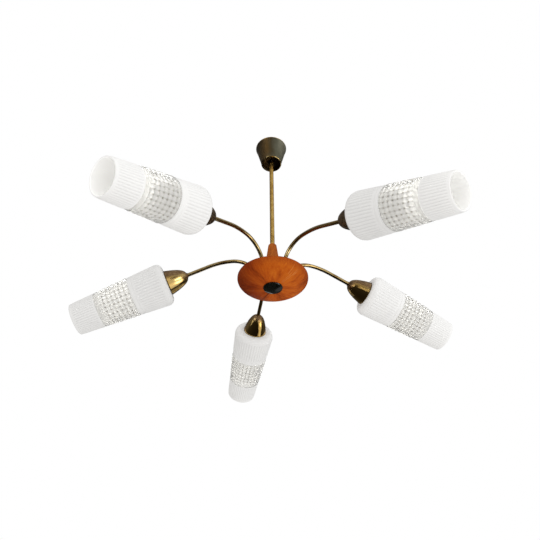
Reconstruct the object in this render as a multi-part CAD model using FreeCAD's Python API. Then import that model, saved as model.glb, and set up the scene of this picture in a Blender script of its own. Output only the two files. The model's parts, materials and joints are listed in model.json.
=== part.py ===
import FreeCAD
import Part
import math
import os

V = FreeCAD.Vector

# All sizes in millimetres. The origin is the centre of the hanger eye, +Z is up.
# The lamp hangs from the eye; the widest circle of the teak saucer lies SAUCER_DROP below it.
SAUCER_DROP = 400.0
Z_EQ = -SAUCER_DROP

EYE_R = 9.0
EYE_OUTER_R = 14.0
EYE_THICK = 6.0
EYE_EDGE_R = 1.0
STEM_R = 7.0
STEM_TOP_Z = -12.0
STEM_BOTTOM_Z = -20.0

ROD_R = 5.0
ROD_BORE_R = 4.0
ROD_TOP_Z = -13.5
ROD_END_Z = Z_EQ - 27.0
ROD_HOLE_R = 2.5
ROD_TOP_HOLE_Z = -27.0
ROD_LOW_HOLE_Z = Z_EQ - 13.0
RUN_GAP = 0.05

CANOPY_TOP_Z = 21.4
CANOPY_LOW_Z = -37.4
CANOPY_TOP_R = 38.25
CANOPY_LOW_R = 24.25
CANOPY_WALL = 1.0
CANOPY_FLOOR_Z = -31.0
CANOPY_FLOOR_HOLE_R = 5.6
CANOPY_BEAD_R = 1.5
CANOPY_BEAD_CENTRE_R = 23.75
CANOPY_BEAD_Z = -37.0
CANOPY_RIM_R = 1.0
CANOPY_RIM_CENTRE_R = 37.65
COLLAR_R = 8.0
COLLAR_LOW_Z = -38.0
GRUB_R = 1.5
GRUB_Z = -34.5
GRUB_PROUD = 1.2

NECK_TOP_Z = Z_EQ + 90.5
NECK_TOP_R = 9.1
NECK_MID_Z = Z_EQ + 65.0
NECK_MID_R = 12.0
NECK_LOW_R = 20.0
NECK_EDGE_R = 2.0
NECK_NUT_R = 10.2
NECK_NUT_DEEP = 7.0

SAUCER_R = 73.0
LID_TOP_Z = Z_EQ + 4.8
LID_EDGE_Z = Z_EQ - 0.2
LID_SEAM_Z = Z_EQ - 1.0
LID_FLAT_R = 45.0
LID_ARC_R = 62.0
LID_ARC_DROP = 1.35
BOWL_BAND_Z = Z_EQ - 2.0
BOWL_DEEP = 23.0
BOWL_FLAT_Z = Z_EQ - 23.5
BOWL_INNER_R = 66.0
BOWL_INNER_DEEP = 17.0
BOWL_INNER_FLAT_R = 12.0
BOWL_POINTS = 8

PLATE_R = 44.0
PLATE_LOW_Z = Z_EQ - 3.5
ARM_NUT_FLATS = 13.0
ARM_NUT_HIGH = 5.0
ROD_NUT_FLATS = 15.0
ROD_NUT_HIGH = 6.0
NUT_CHAMFER = 0.3

BUTTON_R = 19.9
WASHER_THICK = 0.8
CAP_R = 19.4
CAP_EDGE = 1.2
CAP_HIGH = 7.0
CAP_BORE_DEEP = 3.5

# Each arm: the azimuth at which it enters the saucer, how far it stands turned about its
# own upright end, and how steeply its outer end slopes down (degrees).
ARMS = [
    (90.0, 9.05, 22.65),
    (162.0, 7.41, 21.85),
    (234.0, -6.24, 20.80),
    (306.0, 5.31, 22.26),
    (18.0, 1.12, 19.52),
]
ARM_ENTRY_R = 35.0
ARM_R = 4.0
ARM_BORE_R = 3.0
ARM_LOW_Z = Z_EQ - 10.0
ARM_BEND_Z = Z_EQ + 4.8
ARM_RISE_R = 55.2
ARM_FALL_R = 134.7
ARM_STRAIGHT = 48.6
ARM_IN_CUP = 16.0

# Along each lamp head the distance s runs from the tip of the cup to the mouth of the glass.
CUP_R = 27.0
CUP_POWER = 0.36
CUP_WALL = 1.0
CUP_POINTS = 12
CUP_NECK_R = 5.2
CUP_NECK_START = -2.0
GLASS_S = 44.1
GLASS_LONG = 202.8
GLASS_HOLE_R = 20.2
GLASS_FLAT_R = 33.1
GLASS_SHOULDER_R = 12.5
GLASS_WALL = 3.0
GLASS_MOUTH_R = 33.1

HOLDER_R = 19.6
HOLDER_START = 12.0
HOLDER_END = 66.0
HOLDER_WALL = 3.0
HOLDER_NOSE_R = 14.5
HOLDER_NOSE_INNER_R = 13.0
HOLDER_NOSE_WALL = 4.0
HOLDER_NOSE_LONG = 12.0
HOLDER_NOSE_INNER_LONG = 12.0
HOLDER_FLOOR = 27.0
SOCKET_FLOOR = 30.0
SHELL_R = 13.3
SHELL_WALL = 0.6
SHELL_START = 37.0
SHELL_LONG = 27.0
CONTACT_R = 5.0
CONTACT_THICK = 1.0
CONTACT_PIP_R = 2.5
CONTACT_PIP_HIGH = 2.5
RING_START = GLASS_S + GLASS_WALL + RUN_GAP
RING_HIGH = 9.0
RING_FLANGE = 2.5
RING_R = 25.5
RING_BODY_R = 22.5
NOTCHES = 8
NOTCH_WIDE = 3.0
NOTCH_DEEP = 1.5

FLEX_R = 1.9
FLEX_OUT = 9.0
FLEX_BEND = 3.0
FLEX_PAST_TUBE = 0.5
FLEX_IN_HOLDER = 8.0
CORE_R = 0.9
CORE_SIDE = 0.95
CORE_BEND = 2.0
HUB_CORE_SIDE = 2.0
HUB_CORE_Y = -12.0
HUB_CORE_BEND = 1.0
HUB_WIRE_R = 1.0
HUB_WIRE_Z = Z_EQ - 13.2
HUB_WIRE_BEND = 1.5
HUB_WIRE_START_Z = Z_EQ - 10.9
HUB_WIRE_X = (6.0, -7.0, 9.0)
HUB_WIRE_ROUND = (11.0, 4.0)
WIRE_GAP = 0.8
BLOCK_TOP_Z = -12.2
BLOCK_SIZE = (12.0, 28.0, 10.0)
HUB_BLOCK_SIZE = (22.0, 12.0, 11.0)
HUB_BLOCK_Y = -21.0
BLOCK_EDGE_R = 1.5
HUB_BLOCK_EDGE_R = 1.2
TERMINAL_R = 1.6
TERMINAL_DEEP = 5.0
TERMINAL_ROW = 2.6
TERMINAL_SCREW = 3.6
HUB_TERMINAL_DEEP = 4.0
HUB_TERMINAL_ROW = 3.0
HUB_TERMINAL_SCREW = 3.0
SLOT_LONG = 4.0
SLOT_WIDE = 0.5
SLOT_DEEP = 0.8


def polygon_face(points):
    return Part.Face(Part.makePolygon([V(*p) for p in points] + [V(*points[0])]))


def turned(edges):
    """Turn a closed outline, drawn in the XZ plane, round the Z axis."""
    face = Part.Face(Part.Wire(Part.sortEdges(edges)[0]))
    return face.revolve(V(0, 0, 0), V(0, 0, 1), 360)


def line(a, b):
    return Part.LineSegment(V(a[0], 0, a[1]), V(b[0], 0, b[1])).toShape()


def arc(a, b, c):
    return Part.Arc(V(a[0], 0, a[1]), V(b[0], 0, b[1]), V(c[0], 0, c[1])).toShape()


def spline(points):
    curve = Part.BSplineCurve()
    curve.interpolate([V(p[0], 0, p[1]) for p in points])
    return curve.toShape()


def turned_polygon(points):
    return turned([line(a, b) for a, b in zip(points, points[1:] + points[:1])])


def tube(outer_r, inner_r, low_z, high_z):
    outside = Part.makeCylinder(outer_r, high_z - low_z, V(0, 0, low_z))
    return outside.cut(Part.makeCylinder(inner_r, high_z - low_z, V(0, 0, low_z)))


def arm_entry(azimuth):
    angle = math.radians(azimuth)
    return (ARM_ENTRY_R * math.cos(angle), ARM_ENTRY_R * math.sin(angle))


def arm_entries():
    return [arm_entry(azimuth) for azimuth, _, _ in ARMS]


def hexagon_nut(flats, high, bore_r, low_z):
    corner = flats / math.sqrt(3)
    points = []
    for k in range(6):
        angle = math.radians(60 * k)
        points.append((corner * math.cos(angle), corner * math.sin(angle), low_z))
    body = polygon_face(points).extrude(V(0, 0, high))
    face_r = flats / 2 - NUT_CHAMFER
    top_off = Part.makeCone(corner + high, face_r, high, V(0, 0, low_z))
    low_off = Part.makeCone(face_r, corner + high, high, V(0, 0, low_z))
    body = body.common(top_off).common(low_off)
    return body.cut(Part.makeCylinder(bore_r, high, V(0, 0, low_z)))


def bent_wire(points, bends):
    """A line through the points, with each corner rounded to its bend radius."""
    corners = [V(*p) for p in points]
    edges = []
    here = corners[0]
    for k in range(1, len(corners) - 1):
        back = (corners[k - 1] - corners[k]).normalize()
        ahead = (corners[k + 1] - corners[k]).normalize()
        half = back.getAngle(ahead) / 2
        reach = bends[k - 1] / math.tan(half)
        start = corners[k] + back * reach
        end = corners[k] + ahead * reach
        inward = (back + ahead).normalize()
        middle = corners[k] + inward * (bends[k - 1] / math.sin(half) - bends[k - 1])
        if (start - here).Length > 0.001:
            edges.append(Part.LineSegment(here, start).toShape())
        edges.append(Part.Arc(start, middle, end).toShape())
        here = end
    edges.append(Part.LineSegment(here, corners[-1]).toShape())
    return Part.Wire(edges)


def round_bar(wire, radius):
    first = wire.OrderedEdges[0]
    start = first.valueAt(first.FirstParameter)
    toward = first.tangentAt(first.FirstParameter)
    circle = Part.Wire(Part.makeCircle(radius, start, toward))
    return wire.makePipeShell([circle], True, False)


def cable(points, bend, radius):
    return round_bar(bent_wire(points, [bend] * (len(points) - 2)), radius)


def hanger_loop():
    ring = Part.makeCylinder(EYE_OUTER_R, EYE_THICK, V(0, -EYE_THICK / 2, 0), V(0, 1, 0))
    ring = ring.makeFillet(EYE_EDGE_R, ring.Edges)
    stem = Part.makeCylinder(STEM_R, STEM_TOP_Z - STEM_BOTTOM_Z, V(0, 0, STEM_BOTTOM_Z))
    body = ring.fuse(stem)
    eye = Part.makeCylinder(EYE_R, EYE_THICK, V(0, -EYE_THICK / 2, 0), V(0, 1, 0))
    socket = Part.makeCylinder(ROD_R, ROD_TOP_Z - STEM_BOTTOM_Z, V(0, 0, STEM_BOTTOM_Z))
    return body.cut(eye).cut(socket)


def down_rod():
    body = tube(ROD_R, ROD_BORE_R, ROD_END_Z, ROD_TOP_Z)
    top_hole = Part.makeCylinder(ROD_HOLE_R, 2 * ROD_R, V(0, 0, ROD_TOP_HOLE_Z), V(1, 0, 0))
    low_hole = Part.makeCylinder(ROD_HOLE_R, 2 * ROD_R, V(0, 0, ROD_LOW_HOLE_Z), V(0, -1, 0))
    return body.cut(top_hole).cut(low_hole)


def rod_flex():
    """The flex down the rod, with two cores at each end that reach a terminal block."""
    top_z = ROD_TOP_HOLE_Z
    low_z = ROD_LOW_HOLE_Z
    path = [(FLEX_OUT, 0, top_z), (0, 0, top_z), (0, 0, low_z), (0, -FLEX_OUT, low_z)]
    pieces = [cable(path, FLEX_BEND, FLEX_R)]
    pole = BLOCK_SIZE[1] / 4
    block_low = BLOCK_TOP_Z - BLOCK_SIZE[2]
    middle_x = STEM_R + BLOCK_SIZE[0] / 2
    hub_face_y = HUB_BLOCK_Y + HUB_BLOCK_SIZE[1] / 2
    for side in (-1, 1):
        core = [(FLEX_OUT, side * CORE_SIDE, top_z), (middle_x, side * pole, top_z),
                (middle_x, side * pole, block_low)]
        pieces.append(cable(core, CORE_BEND, CORE_R))
        core = [(side * CORE_SIDE, -FLEX_OUT, low_z), (side * HUB_CORE_SIDE, HUB_CORE_Y, low_z),
                (side * HUB_CORE_SIDE, hub_face_y, low_z)]
        pieces.append(cable(core, HUB_CORE_BEND, CORE_R))
    return Part.makeCompound(pieces)


def terminal_places():
    pole = BLOCK_SIZE[1] / 4
    middle_z = BLOCK_TOP_Z - BLOCK_SIZE[2] / 2
    return [(side * pole, middle_z + row * TERMINAL_ROW) for side in (-1, 1) for row in (-1, 1)]


def hub_terminal_places():
    pole = HUB_BLOCK_SIZE[0] / 4
    rows = [HUB_BLOCK_Y + row * HUB_TERMINAL_ROW for row in (-1, 1)]
    return [(side * pole, y) for side in (-1, 1) for y in rows]


def slotted_screw(high):
    body = Part.makeCylinder(TERMINAL_R, high)
    corner = V(-SLOT_LONG / 2, -SLOT_WIDE / 2, high - SLOT_DEEP)
    return body.cut(Part.makeBox(SLOT_LONG, SLOT_WIDE, SLOT_DEEP, corner))


def ceiling_terminal_block():
    deep, wide, high = BLOCK_SIZE
    body = Part.makeBox(deep, wide, high, V(STEM_R, -wide / 2, BLOCK_TOP_Z - high))
    edges = [e for e in body.Edges if abs(e.BoundBox.XLength - deep) < 0.01]
    body = body.makeFillet(BLOCK_EDGE_R, edges)
    floor_x = STEM_R + deep - TERMINAL_DEEP
    for y, z in terminal_places():
        body = body.cut(Part.makeCylinder(TERMINAL_R, TERMINAL_DEEP, V(floor_x, y, z), V(1, 0, 0)))
    return body


def ceiling_terminal_screws():
    pieces = []
    for y, z in terminal_places():
        screw = slotted_screw(TERMINAL_SCREW)
        screw.rotate(V(0, 0, 0), V(0, 1, 0), 90)
        screw.translate(V(STEM_R + BLOCK_SIZE[0] - TERMINAL_DEEP, y, z))
        pieces.append(screw)
    return Part.makeCompound(pieces)


def hub_terminal_block():
    wide, deep, high = HUB_BLOCK_SIZE
    corner = V(-wide / 2, HUB_BLOCK_Y - deep / 2, PLATE_LOW_Z - high)
    body = Part.makeBox(wide, deep, high, corner)
    edges = [e for e in body.Edges if abs(e.BoundBox.ZLength - high) < 0.01]
    body = body.makeFillet(HUB_BLOCK_EDGE_R, edges)
    for x, y in hub_terminal_places():
        hole = Part.makeCylinder(TERMINAL_R, HUB_TERMINAL_DEEP, V(x, y, PLATE_LOW_Z - high))
        body = body.cut(hole)
    return body


def hub_terminal_screws():
    pieces = []
    for x, y in hub_terminal_places():
        screw = slotted_screw(HUB_TERMINAL_SCREW)
        screw.rotate(V(0, 0, 0), V(1, 0, 0), 180)
        screw.translate(V(x, y, PLATE_LOW_Z - HUB_BLOCK_SIZE[2] + HUB_TERMINAL_DEEP))
        pieces.append(screw)
    return Part.makeCompound(pieces)


def hub_wiring():
    """One wire from the inner end of each arm to the terminal block in the saucer."""
    half_x = HUB_BLOCK_SIZE[0] / 2 + WIRE_GAP
    face_y = HUB_BLOCK_Y + HUB_BLOCK_SIZE[1] / 2 + WIRE_GAP
    ways = [
        [HUB_WIRE_ROUND, (HUB_WIRE_X[0], face_y)],
        [(HUB_WIRE_X[1], face_y)],
        [(-half_x, HUB_BLOCK_Y)],
        [(half_x, HUB_BLOCK_Y)],
        [(HUB_WIRE_X[2], face_y)],
    ]
    pieces = []
    for (x, y), way in zip(arm_entries(), ways):
        path = [(x, y, HUB_WIRE_START_Z), (x, y, HUB_WIRE_Z)]
        path += [(px, py, HUB_WIRE_Z) for px, py in way]
        pieces.append(cable(path, HUB_WIRE_BEND, HUB_WIRE_R))
    return Part.makeCompound(pieces)


def teak_neck():
    low_z = LID_TOP_Z
    edge = NECK_EDGE_R
    nick = edge * (1 - math.sqrt(0.5))
    outline = [
        line((ROD_R, NECK_TOP_Z), (NECK_TOP_R - edge, NECK_TOP_Z)),
        arc((NECK_TOP_R - edge, NECK_TOP_Z),
            (NECK_TOP_R - nick, NECK_TOP_Z - nick),
            (NECK_TOP_R, NECK_TOP_Z - edge)),
        arc((NECK_TOP_R, NECK_TOP_Z - edge), (NECK_MID_R, NECK_MID_Z), (NECK_LOW_R, low_z)),
        line((NECK_LOW_R, low_z), (NECK_NUT_R, low_z)),
        line((NECK_NUT_R, low_z), (NECK_NUT_R, low_z + NECK_NUT_DEEP)),
        line((NECK_NUT_R, low_z + NECK_NUT_DEEP), (ROD_R, low_z + NECK_NUT_DEEP)),
        line((ROD_R, low_z + NECK_NUT_DEEP), (ROD_R, NECK_TOP_Z)),
    ]
    return turned(outline)


def with_arm_holes(body, low_z, high_z):
    for x, y in arm_entries():
        body = body.cut(Part.makeCylinder(ARM_R + RUN_GAP, high_z - low_z, V(x, y, low_z)))
    return body


def saucer_lid():
    arc_middle = (LID_ARC_R, LID_TOP_Z - LID_ARC_DROP)
    outline = [
        line((ROD_R, LID_TOP_Z), (LID_FLAT_R, LID_TOP_Z)),
        arc((LID_FLAT_R, LID_TOP_Z), arc_middle, (SAUCER_R, LID_EDGE_Z)),
        line((SAUCER_R, LID_EDGE_Z), (SAUCER_R, LID_SEAM_Z)),
        line((SAUCER_R, LID_SEAM_Z), (ROD_R, LID_SEAM_Z)),
        line((ROD_R, LID_SEAM_Z), (ROD_R, LID_TOP_Z)),
    ]
    return with_arm_holes(turned(outline), LID_SEAM_Z, LID_TOP_Z)


def ellipse_points(radius, deep, top_z, last_angle):
    """Points down an ellipse, from its widest circle to last_angle."""
    points = []
    for k in range(BOWL_POINTS + 1):
        angle = last_angle * k / BOWL_POINTS
        points.append((radius * math.cos(angle), top_z - deep * math.sin(angle)))
    return points


def saucer_bowl():
    flat_angle = math.asin((BOWL_BAND_Z - BOWL_FLAT_Z) / BOWL_DEEP)
    outside = ellipse_points(SAUCER_R, BOWL_DEEP, BOWL_BAND_Z, flat_angle)
    floor_z = LID_SEAM_Z - BOWL_INNER_DEEP
    inner_angle = math.acos(BOWL_INNER_FLAT_R / BOWL_INNER_R)
    inside = ellipse_points(BOWL_INNER_R, BOWL_INNER_DEEP, LID_SEAM_Z, inner_angle)
    outline = [
        line((BOWL_INNER_R, LID_SEAM_Z), (SAUCER_R, LID_SEAM_Z)),
        line((SAUCER_R, LID_SEAM_Z), (SAUCER_R, BOWL_BAND_Z)),
        spline(outside),
        line(outside[-1], (ROD_R, BOWL_FLAT_Z)),
        line((ROD_R, BOWL_FLAT_Z), (ROD_R, floor_z)),
        line((ROD_R, floor_z), (BOWL_INNER_FLAT_R, floor_z)),
        line((BOWL_INNER_FLAT_R, floor_z), inside[-1]),
        spline(inside),
    ]
    return turned(outline)


def arm_plate():
    body = tube(PLATE_R, ROD_R, PLATE_LOW_Z, LID_SEAM_Z)
    return with_arm_holes(body, PLATE_LOW_Z, LID_SEAM_Z)


def arm_nuts():
    pieces = []
    for x, y in arm_entries():
        nut = hexagon_nut(ARM_NUT_FLATS, ARM_NUT_HIGH, ARM_R + RUN_GAP, PLATE_LOW_Z - ARM_NUT_HIGH)
        nut.translate(V(x, y, 0))
        pieces.append(nut)
    return Part.makeCompound(pieces)


def rod_nuts():
    low = hexagon_nut(ROD_NUT_FLATS, ROD_NUT_HIGH, ROD_R, PLATE_LOW_Z - ROD_NUT_HIGH)
    high = hexagon_nut(ROD_NUT_FLATS, ROD_NUT_HIGH, ROD_R, LID_TOP_Z)
    return Part.makeCompound([low, high])


def finial_washer():
    return tube(BUTTON_R, ROD_R + RUN_GAP, BOWL_FLAT_Z - WASHER_THICK, BOWL_FLAT_Z)


def finial_cap():
    top_z = BOWL_FLAT_Z - WASHER_THICK
    edge_z = top_z - CAP_EDGE
    low_z = top_z - CAP_HIGH
    bore_r = ROD_R + RUN_GAP
    sag = edge_z - low_z
    sphere_r = (CAP_R ** 2 + sag ** 2) / (2 * sag)
    half_r = CAP_R / 2
    half_z = low_z + sphere_r - math.sqrt(sphere_r ** 2 - half_r ** 2)
    outline = [
        line((bore_r, top_z), (CAP_R, top_z)),
        line((CAP_R, top_z), (CAP_R, edge_z)),
        arc((CAP_R, edge_z), (half_r, half_z), (0, low_z)),
        line((0, low_z), (0, top_z - CAP_BORE_DEEP)),
        line((0, top_z - CAP_BORE_DEEP), (bore_r, top_z - CAP_BORE_DEEP)),
        line((bore_r, top_z - CAP_BORE_DEEP), (bore_r, top_z)),
    ]
    return turned(outline)


def canopy_radius(z):
    along = (z - CANOPY_LOW_Z) / (CANOPY_TOP_Z - CANOPY_LOW_Z)
    return CANOPY_LOW_R + along * (CANOPY_TOP_R - CANOPY_LOW_R)


def canopy_shell():
    floor_top = CANOPY_FLOOR_Z + CANOPY_WALL
    inner_low = CANOPY_LOW_R - CANOPY_WALL
    inner_top = CANOPY_TOP_R - CANOPY_WALL
    body = turned_polygon([
        (inner_low, CANOPY_LOW_Z),
        (CANOPY_LOW_R, CANOPY_LOW_Z),
        (CANOPY_TOP_R, CANOPY_TOP_Z),
        (inner_top, CANOPY_TOP_Z),
        (canopy_radius(floor_top) - CANOPY_WALL, floor_top),
        (CANOPY_FLOOR_HOLE_R, floor_top),
        (CANOPY_FLOOR_HOLE_R, CANOPY_FLOOR_Z),
        (canopy_radius(CANOPY_FLOOR_Z) - CANOPY_WALL, CANOPY_FLOOR_Z),
    ])
    rim_z = CANOPY_TOP_Z - CANOPY_RIM_R
    bead = Part.makeTorus(CANOPY_BEAD_CENTRE_R, CANOPY_BEAD_R, V(0, 0, CANOPY_BEAD_Z))
    rim = Part.makeTorus(CANOPY_RIM_CENTRE_R, CANOPY_RIM_R, V(0, 0, rim_z))
    return body.fuse(bead).fuse(rim)


def canopy_collar():
    body = tube(COLLAR_R, ROD_R + RUN_GAP, COLLAR_LOW_Z, CANOPY_FLOOR_Z)
    hole = Part.makeCylinder(GRUB_R + RUN_GAP, COLLAR_R, V(0, 0, GRUB_Z), V(0, -1, 0))
    return body.cut(hole)


def canopy_screw():
    start = ROD_R + 2 * RUN_GAP
    end = COLLAR_R + GRUB_PROUD
    body = Part.makeCylinder(GRUB_R, end - start, V(0, -start, GRUB_Z), V(0, -1, 0))
    corner = V(-SLOT_LONG / 2, -end, GRUB_Z - SLOT_WIDE / 2)
    return body.cut(Part.makeBox(SLOT_LONG, SLOT_DEEP, SLOT_WIDE, corner))


def arm_points(slope, low_z):
    """The centre line of an arm in its own plane, x outwards from its upright end."""
    tau = math.radians(slope)
    top_z = ARM_BEND_Z + ARM_RISE_R
    corner_x = ARM_RISE_R + ARM_FALL_R * math.tan(tau / 2)
    tip_x = ARM_RISE_R + ARM_FALL_R * math.sin(tau) + ARM_STRAIGHT * math.cos(tau)
    tip_z = top_z - ARM_FALL_R * (1 - math.cos(tau)) - ARM_STRAIGHT * math.sin(tau)
    return [(0, 0, low_z), (0, 0, top_z), (corner_x, 0, top_z), (tip_x, 0, tip_z)]


def lengthened(points, extra):
    last = V(*points[-1])
    ahead = (last - V(*points[-2])).normalize()
    end = last + ahead * extra
    return points[:-1] + [(end.x, end.y, end.z)]


def arm_bar(slope, low_z, extra, radius):
    points = lengthened(arm_points(slope, low_z), extra)
    return round_bar(bent_wire(points, [ARM_RISE_R, ARM_FALL_R]), radius)


def arm_tube(slope):
    outside = arm_bar(slope, ARM_LOW_Z, ARM_IN_CUP, ARM_R)
    return outside.cut(arm_bar(slope, ARM_LOW_Z, ARM_IN_CUP, ARM_BORE_R))


def arm_flex(slope):
    return arm_bar(slope, ARM_LOW_Z - FLEX_PAST_TUBE, ARM_IN_CUP + FLEX_IN_HOLDER, FLEX_R)


def bell_points(first_r, first_s, last_r):
    """Points on the bell-shaped cup, from a narrow circle near its tip to its rim."""
    power = 1 / CUP_POWER
    stretch = (GLASS_S - first_s) / (last_r ** power - first_r ** power)
    points = []
    for k in range(CUP_POINTS + 1):
        r = first_r + (last_r - first_r) * k / CUP_POINTS
        points.append((r, first_s + stretch * (r ** power - first_r ** power)))
    return points


def socket_cup():
    outside = bell_points(CUP_NECK_R, 0.0, CUP_R)
    inside = bell_points(CUP_NECK_R, CUP_WALL, CUP_R - CUP_WALL)
    outline = [
        line((ARM_R, CUP_NECK_START), (CUP_NECK_R, CUP_NECK_START)),
        line((CUP_NECK_R, CUP_NECK_START), outside[0]),
        spline(outside),
        line(outside[-1], inside[-1]),
        spline(inside),
        line(inside[0], (ARM_R, CUP_WALL)),
        line((ARM_R, CUP_WALL), (ARM_R, CUP_NECK_START)),
    ]
    return turned(outline)


def lampholder_body():
    bore_r = SHELL_R + SHELL_WALL
    inner_r = HOLDER_R - HOLDER_WALL
    inner_start = HOLDER_START + HOLDER_NOSE_WALL
    return turned_polygon([
        (ARM_R, HOLDER_START),
        (HOLDER_NOSE_R, HOLDER_START),
        (HOLDER_R, HOLDER_START + HOLDER_NOSE_LONG),
        (HOLDER_R, HOLDER_END),
        (bore_r, HOLDER_END),
        (bore_r, SOCKET_FLOOR),
        (0, SOCKET_FLOOR),
        (0, HOLDER_FLOOR),
        (inner_r, HOLDER_FLOOR),
        (inner_r, HOLDER_START + HOLDER_NOSE_INNER_LONG),
        (HOLDER_NOSE_INNER_R, inner_start),
        (ARM_R, inner_start),
    ])


def screw_shell():
    return tube(SHELL_R + SHELL_WALL, SHELL_R, SHELL_START, SHELL_START + SHELL_LONG)


def centre_contact():
    base = Part.makeCylinder(CONTACT_R, CONTACT_THICK, V(0, 0, SOCKET_FLOOR))
    pip_foot = V(0, 0, SOCKET_FLOOR + CONTACT_THICK)
    pip = Part.makeCylinder(CONTACT_PIP_R, CONTACT_PIP_HIGH, pip_foot)
    return base.fuse(pip)


def glass_shade():
    turn = math.sqrt(0.5)
    shoulder_r = GLASS_FLAT_R + GLASS_SHOULDER_R
    inner_turn = GLASS_SHOULDER_R - GLASS_WALL
    lip = GLASS_WALL / 2
    end = GLASS_LONG - lip
    inner_mouth = GLASS_MOUTH_R - GLASS_WALL
    outline = [
        line((GLASS_HOLE_R, 0), (GLASS_FLAT_R, 0)),
        arc((GLASS_FLAT_R, 0),
            (GLASS_FLAT_R + GLASS_SHOULDER_R * turn, GLASS_SHOULDER_R * (1 - turn)),
            (shoulder_r, GLASS_SHOULDER_R)),
        line((shoulder_r, GLASS_SHOULDER_R), (GLASS_MOUTH_R, end)),
        arc((GLASS_MOUTH_R, end), (GLASS_MOUTH_R - lip, GLASS_LONG), (inner_mouth, end)),
        line((inner_mouth, end), (shoulder_r - GLASS_WALL, GLASS_SHOULDER_R)),
        arc((shoulder_r - GLASS_WALL, GLASS_SHOULDER_R),
            (GLASS_FLAT_R + inner_turn * turn, GLASS_SHOULDER_R - inner_turn * turn),
            (GLASS_FLAT_R, GLASS_WALL)),
        line((GLASS_FLAT_R, GLASS_WALL), (GLASS_HOLE_R, GLASS_WALL)),
        line((GLASS_HOLE_R, GLASS_WALL), (GLASS_HOLE_R, 0)),
    ]
    body = turned(outline)
    body.translate(V(0, 0, GLASS_S))
    return body


def shade_ring():
    bore_r = HOLDER_R + RUN_GAP
    ring = turned_polygon([
        (bore_r, RING_START),
        (RING_R, RING_START),
        (RING_R, RING_START + RING_FLANGE),
        (RING_BODY_R, RING_START + RING_FLANGE),
        (RING_BODY_R, RING_START + RING_HIGH),
        (bore_r, RING_START + RING_HIGH),
    ])
    corner = V(RING_R - NOTCH_DEEP, -NOTCH_WIDE / 2, RING_START)
    for k in range(NOTCHES):
        notch = Part.makeBox(2 * NOTCH_DEEP, NOTCH_WIDE, RING_FLANGE, corner)
        notch.rotate(V(0, 0, 0), V(0, 0, 1), 360.0 * k / NOTCHES)
        ring = ring.cut(notch)
    return ring


def onto_arm(shape, arm):
    """Carry a shape from the arm's own plane to the arm's place on the saucer."""
    azimuth, swing, _ = arm
    moved = shape.copy()
    moved.rotate(V(0, 0, 0), V(0, 0, 1), azimuth + swing)
    moved.translate(V(*arm_entry(azimuth), 0))
    return moved


def onto_head(shape, arm):
    """Carry a shape drawn along the lamp head's axis to the end of its arm."""
    slope = arm[2]
    moved = shape.copy()
    moved.rotate(V(0, 0, 0), V(0, 1, 0), 90.0 + slope)
    moved.translate(V(*arm_points(slope, ARM_LOW_Z)[-1]))
    return onto_arm(moved, arm)


def save(shape, node):
    shape.exportStep("parts/" + node + ".step")


def save_hub():
    save(hanger_loop(), "hanger_loop")
    save(down_rod(), "down_rod")
    save(rod_flex(), "rod_flex")
    save(ceiling_terminal_block(), "ceiling_terminal_block")
    save(ceiling_terminal_screws(), "ceiling_terminal_screws")
    save(canopy_shell(), "canopy_shell")
    save(canopy_collar(), "canopy_collar")
    save(canopy_screw(), "canopy_screw")
    save(teak_neck(), "teak_neck")
    save(saucer_lid(), "saucer_lid")
    save(saucer_bowl(), "saucer_bowl")
    save(arm_plate(), "arm_plate")
    save(arm_nuts(), "arm_nuts")
    save(rod_nuts(), "rod_nuts")
    save(hub_terminal_block(), "hub_terminal_block")
    save(hub_terminal_screws(), "hub_terminal_screws")
    save(hub_wiring(), "hub_wiring")
    save(finial_washer(), "finial_washer")
    save(finial_cap(), "finial_cap")


def save_arms():
    head = [
        ("socket_cup", socket_cup()),
        ("lampholder_body", lampholder_body()),
        ("screw_shell", screw_shell()),
        ("centre_contact", centre_contact()),
        ("glass_shade", glass_shade()),
        ("shade_ring", shade_ring()),
    ]
    for number, arm in enumerate(ARMS, start=1):
        save(onto_arm(arm_tube(arm[2]), arm), "arm_tube_%d" % number)
        save(onto_arm(arm_flex(arm[2]), arm), "arm_flex_%d" % number)
        for name, shape in head:
            save(onto_head(shape, arm), "%s_%d" % (name, number))


os.makedirs("parts", exist_ok=True)
save_hub()
save_arms()
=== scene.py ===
"""The looks of a five-arm teak and brass chandelier with ribbed opal shades, round its CAD frame."""

import json
import math

import bpy
from mathutils import Matrix, Vector


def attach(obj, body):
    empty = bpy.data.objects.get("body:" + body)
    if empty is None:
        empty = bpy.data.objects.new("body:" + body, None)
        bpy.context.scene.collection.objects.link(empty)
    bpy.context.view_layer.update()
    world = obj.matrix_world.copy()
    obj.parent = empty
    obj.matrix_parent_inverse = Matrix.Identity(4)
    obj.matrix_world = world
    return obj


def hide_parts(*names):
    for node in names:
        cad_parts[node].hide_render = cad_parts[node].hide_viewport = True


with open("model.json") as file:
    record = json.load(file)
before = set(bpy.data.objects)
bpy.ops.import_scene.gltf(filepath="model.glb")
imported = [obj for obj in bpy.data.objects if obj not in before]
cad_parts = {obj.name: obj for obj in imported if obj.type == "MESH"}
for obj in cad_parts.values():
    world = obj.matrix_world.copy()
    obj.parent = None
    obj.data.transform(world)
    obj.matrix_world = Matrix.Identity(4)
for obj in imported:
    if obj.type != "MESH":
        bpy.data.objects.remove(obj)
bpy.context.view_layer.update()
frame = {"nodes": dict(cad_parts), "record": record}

MM = 0.001
# Where a shader divides by the distance from an axis, it goes no lower than this, in metres.
LEAST_RADIUS = 0.001
SHARP_ANGLE = math.radians(40)
ARM_NUMBERS = range(1, 6)
MOUNTS = {m["name"]: m for m in frame["record"]["mounts"]}

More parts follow.
